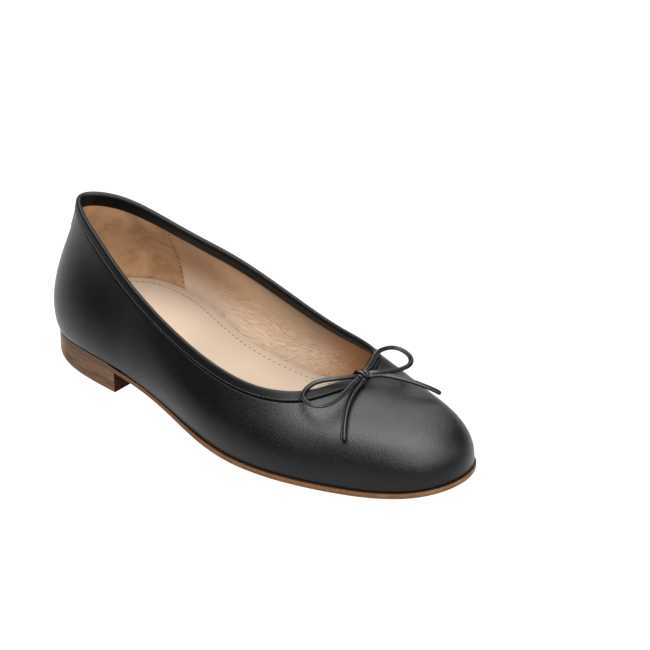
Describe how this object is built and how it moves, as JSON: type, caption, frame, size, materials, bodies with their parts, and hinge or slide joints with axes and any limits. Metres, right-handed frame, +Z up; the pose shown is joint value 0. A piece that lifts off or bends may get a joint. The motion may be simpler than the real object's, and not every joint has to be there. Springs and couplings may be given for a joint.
{
  "type": "ballet flat",
  "caption": "Right ballet flat in black calf with a bound topline, a thin leather bow at the throat and a low stacked heel.",
  "frame": {"origin": "on the floor under the middle of the heel block, at the mount heel_rest", "axes": "+X to the toe, +Y to the inner side of the foot, +Z up"},
  "size_m": [0.2402, 0.0866, 0.072],
  "materials": {
    "upper_calf": "smooth calf, fine grain, soft sheen",
    "binding_calf": "folded smooth calf, soft sheen",
    "bow_cord": "folded and stitched leather cord",
    "lining_leather": "matt kid lining with fine wrinkles",
    "insole_leather": "matt pale leather sock",
    "sole_leather": "burnished sole edge",
    "heel_stack": "stacked leather, waxed edge",
    "thread": "fine waxed thread"
  },
  "bodies": {
    "root": {"upper": "upper_calf", "topline_binding": "binding_calf", "back_tab": "binding_calf", "insole": "insole_leather", "outsole": "sole_leather", "heel": "heel_stack", "bow_knot": "bow_cord", "bow_loop_lateral": "bow_cord", "bow_loop_medial": "bow_cord", "bow_tail_lateral": "bow_cord", "bow_tail_medial": "bow_cord"}
  },
  "joints": []
}
